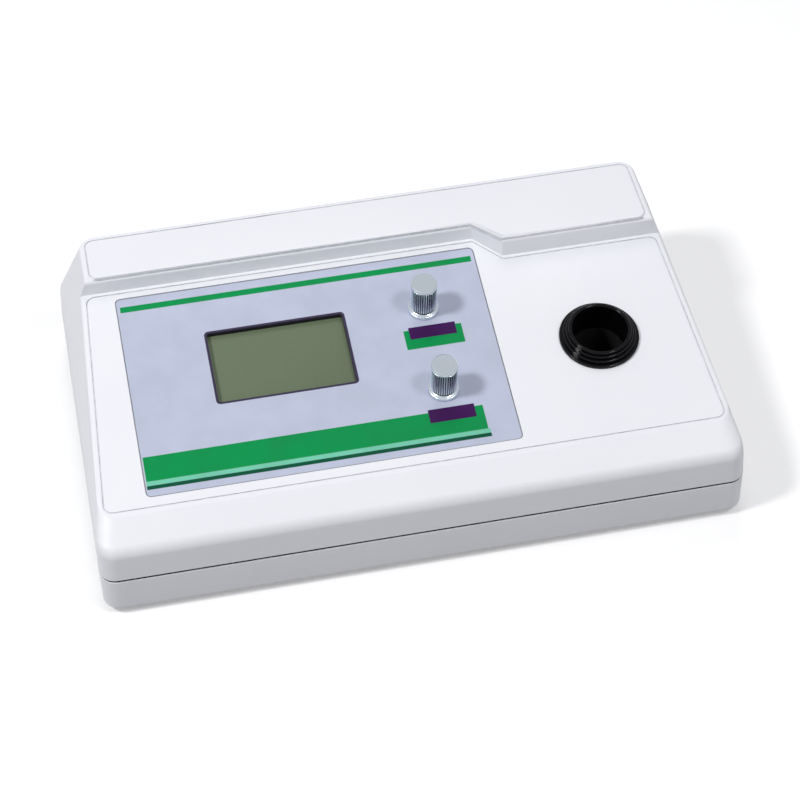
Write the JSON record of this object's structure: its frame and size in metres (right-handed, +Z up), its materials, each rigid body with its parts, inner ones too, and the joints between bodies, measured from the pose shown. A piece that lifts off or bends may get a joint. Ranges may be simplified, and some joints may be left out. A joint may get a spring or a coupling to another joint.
{
  "type": "turbidity meter",
  "caption": "Low bench turbidity meter: two-part plastic case, sloping label panel with a display window and two knobs, stepped collar round a sample well, rear power inlet.",
  "frame": {"origin": "on the table, under the middle of the casing", "axes": "+X to the user's right, +Y to the back, +Z up"},
  "size_m": [0.34, 0.21, 0.0923],
  "materials": {
    "casing_white": "fine moulded satin",
    "label_print": "printed satin film",
    "collar_black": "polished",
    "optics_black": "matt black",
    "foam_black": "foam",
    "display_glass": "olive display glass behind a polariser",
    "backlight": "diffuser",
    "knob_metal": "turned and bright",
    "steel": "zinc plated",
    "brass": "bare",
    "rubber_grey": "matt",
    "circuit_green": "lacquered circuit board",
    "component_black": "moulded",
    "capacitor_blue": "sleeve",
    "connector_cream": "moulded",
    "heat_sink": "black anodised",
    "plate_grey": "satin paint",
    "inlet_black": "moulded",
    "rocker_black": "moulded",
    "fuse_glass": "clear",
    "lens_glass": "clear",
    "lamp_glass": "frosted",
    "core_steel": "lacquered laminations",
    "coil_tape": "yellow tape",
    "wire_cover": "soft sleeve",
    "ribbon_grey": "flat cable"
  },
  "bodies": {
    "casing": {"base_shell": "casing_white", "top_cover": "casing_white", "front_label": "label_print", "rubber_feet": "rubber_grey", "case_screws": "steel", "display_gasket": "foam_black", "display_bezel": "component_black", "display_glass": "display_glass", "display_backlight": "backlight", "display_board": "circuit_green", "display_chips": "component_black", "display_screws": "steel", "well_collar": "collar_black", "collar_nut": "optics_black", "cell_holder": "optics_black", "holder_screws": "steel", "lamp_housing": "optics_black", "lamp_lens": "lens_glass", "lens_ring": "heat_sink", "lamp": "lamp_glass", "lamp_base": "circuit_green", "detector_housing": "optics_black", "photodiode": "steel", "detector_board": "circuit_green", "beam_trap": "optics_black", "optics_screws": "steel", "pot_washers": "steel", "pot_nuts": "steel", "rear_panel": "plate_grey", "rear_panel_screws": "steel", "power_inlet": "inlet_black", "inlet_pins": "brass", "inlet_screws": "steel", "inlet_nuts": "steel", "switch_body": "inlet_black", "switch_terminals": "brass", "main_board": "circuit_green", "inner_screws": "steel", "board_chips": "component_black", "board_capacitors": "capacitor_blue", "board_connectors": "connector_cream", "board_regulator": "heat_sink", "transformer_core": "core_steel", "transformer_coil": "coil_tape", "transformer_bracket": "steel", "mains_wires": "wire_cover", "signal_wires": "wire_cover", "display_ribbon": "ribbon_grey", "zero_pot_body": "steel", "correction_pot_body": "steel"},
    "zero_dial": {"zero_knob": "knob_metal", "zero_set_screw": "steel", "zero_pot_shaft": "steel"},
    "correction_dial": {"correction_knob": "knob_metal", "correction_set_screw": "steel", "correction_pot_shaft": "steel"},
    "rocker": {"switch_rocker": "rocker_black"},
    "drawer": {"fuse_drawer": "inlet_black", "fuse_glass": "fuse_glass", "fuse_caps": "brass"}
  },
  "joints": [
    {"name": "zero_turn", "type": "hinge", "parent": "casing", "child": "zero_dial", "pos_m": [0.0214, 0.01326, 0.06982], "axis": [0, -0.1564, 0.9877], "range_deg": [-150, 150]},
    {"name": "correction_turn", "type": "hinge", "parent": "casing", "child": "correction_dial", "pos_m": [0.0214, -0.03988, 0.0614], "axis": [0, -0.1564, 0.9877], "range_deg": [-150, 150]},
    {"name": "power_rock", "type": "hinge", "parent": "casing", "child": "rocker", "pos_m": [-0.038, 0.0905, 0.055], "axis": [1, 0, 0], "range_deg": [0, 22]},
    {"name": "fuse_slide", "type": "slide", "parent": "casing", "child": "drawer", "axis": [0, 1, 0], "range_m": [0, 0.016]}
  ]
}
